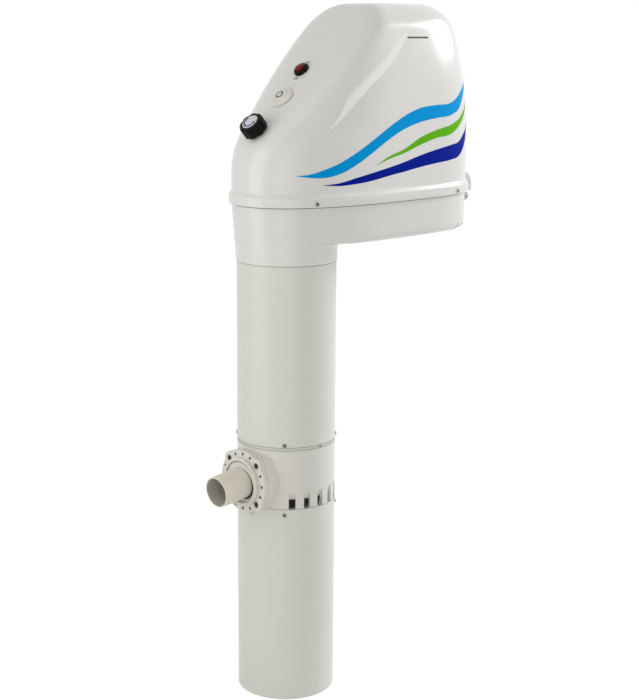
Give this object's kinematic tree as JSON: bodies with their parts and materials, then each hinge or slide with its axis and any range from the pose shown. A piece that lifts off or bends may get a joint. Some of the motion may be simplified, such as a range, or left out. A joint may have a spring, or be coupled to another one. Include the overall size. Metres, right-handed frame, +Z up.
{
  "type": "counter-current swim jet",
  "caption": "Hang-on counter-current swim jet: a motor hood over a slotted suction column with a swivelling flanged jet nozzle, air knob, push button and rocker switch.",
  "frame": {"origin": "middle of the seat, on the underside of the head base, between the column and the pump", "axes": "+Z up, +X to the right of a swimmer facing the jet's way out, the jet leaves along -Y"},
  "size_m": [0.285, 0.6619, 1.402],
  "materials": {
    "hood_shell": "gloss",
    "base_shell": "gloss",
    "tube_plastic": "gloss",
    "collar_plastic": "gloss",
    "flange_plastic": "satin",
    "nozzle_plastic": "satin",
    "ball_plastic": "satin",
    "seal_rubber": "matte",
    "ring_rubber": "matte",
    "gasket_rubber": "matte",
    "pin_steel": "satin",
    "screw_steel": "satin",
    "bolt_brass": "satin",
    "cowl_plastic": "satin",
    "gland_plastic": "matte",
    "knob_black": "gloss",
    "knob_disc": "satin",
    "valve_brass": "satin",
    "hose_rubber": "matte",
    "bezel_plastic": "gloss",
    "button_plastic": "gloss",
    "bellows_rubber": "matte",
    "switch_black": "gloss",
    "switch_red": "gloss",
    "box_plastic": "matte",
    "capacitor_can": "satin",
    "pipe_plastic": "satin",
    "pump_plastic": "matte",
    "impeller_plastic": "matte",
    "bolt_steel": "satin",
    "seal_ceramic": "matte",
    "motor_paint": "satin",
    "bell_cast": "satin",
    "core_steel": "satin",
    "shaft_steel": "satin",
    "fan_plastic": "matte"
  },
  "bodies": {
    "body": {"hood": "hood_shell", "rim_gasket": "seal_rubber", "head_base": "base_shell", "rim_screws": "screw_steel", "cable_cowl": "cowl_plastic", "cable_gland": "gland_plastic", "valve_nut": "valve_brass", "air_valve": "valve_brass", "air_hose": "hose_rubber", "button_bezel": "bezel_plastic", "button_bellows": "bellows_rubber", "bellows_nut": "bellows_rubber", "air_line": "hose_rubber", "switch_bezel": "switch_black", "switch_body": "switch_black", "switch_lead": "hose_rubber", "control_box": "box_plastic", "run_capacitor": "capacitor_can", "upper_tube": "tube_plastic", "seal_ring": "ring_rubber", "locating_pins": "pin_steel", "jet_collar": "collar_plastic", "column_screws": "screw_steel", "bulkhead": "collar_plastic", "lower_tube": "tube_plastic", "end_cap": "collar_plastic", "jet_gasket": "gasket_rubber", "jet_flange": "flange_plastic", "flange_bolts": "bolt_brass", "flange_screws": "screw_steel", "suction_pipe": "pipe_plastic", "discharge_pipe": "pipe_plastic", "pump_casing": "pump_plastic", "foot_bolts": "bolt_steel", "pump_backplate": "pump_plastic", "pump_bolts": "bolt_steel", "shaft_seal": "seal_ceramic", "lower_bell": "bell_cast", "motor_housing": "motor_paint", "motor_stator": "core_steel", "motor_bearings": "shaft_steel", "upper_bell": "bell_cast", "fan_cover": "motor_paint", "terminal_box": "box_plastic"},
    "pan": {"ball_seat": "ball_plastic"},
    "nozzle": {"jet_ball": "ball_plastic", "nozzle_pipe": "nozzle_plastic"},
    "knob": {"air_knob": "knob_black", "knob_cap": "knob_disc", "valve_spindle": "valve_brass"},
    "button": {"button_cap": "button_plastic"},
    "rocker": {"switch_rocker": "switch_red"},
    "rotor": {"motor_shaft": "shaft_steel", "motor_rotor": "core_steel", "motor_fan": "fan_plastic", "impeller": "impeller_plastic"}
  },
  "joints": [
    {"name": "nozzle_pan", "type": "hinge", "parent": "body", "child": "pan", "pos_m": [0, -0.359, -0.474], "axis": [0, 0, 1], "range_deg": [-15, 15]},
    {"name": "nozzle_tilt", "type": "hinge", "parent": "pan", "child": "nozzle", "pos_m": [0, -0.359, -0.474], "axis": [1, 0, 0], "range_deg": [-21, 9]},
    {"name": "knob_turn", "type": "hinge", "parent": "body", "child": "knob", "pos_m": [0, -0.32911, 0.22011], "axis": [0, -0.6884, 0.7254], "range_deg": [0, 270]},
    {"name": "button_press", "type": "slide", "parent": "body", "child": "button", "axis": [0, 0.6884, -0.7254], "range_m": [0, 0.004], "stiffness_N_per_m": 1500},
    {"name": "switch_rock", "type": "hinge", "parent": "body", "child": "rocker", "pos_m": [0, -0.21407, 0.33714], "axis": [1, 0, 0], "range_deg": [0, 16]},
    {"name": "motor_spin", "type": "hinge", "parent": "body", "child": "rotor", "pos_m": [0, 0.02, 0.26], "axis": [0, 0, 1], "continuous": true}
  ]
}
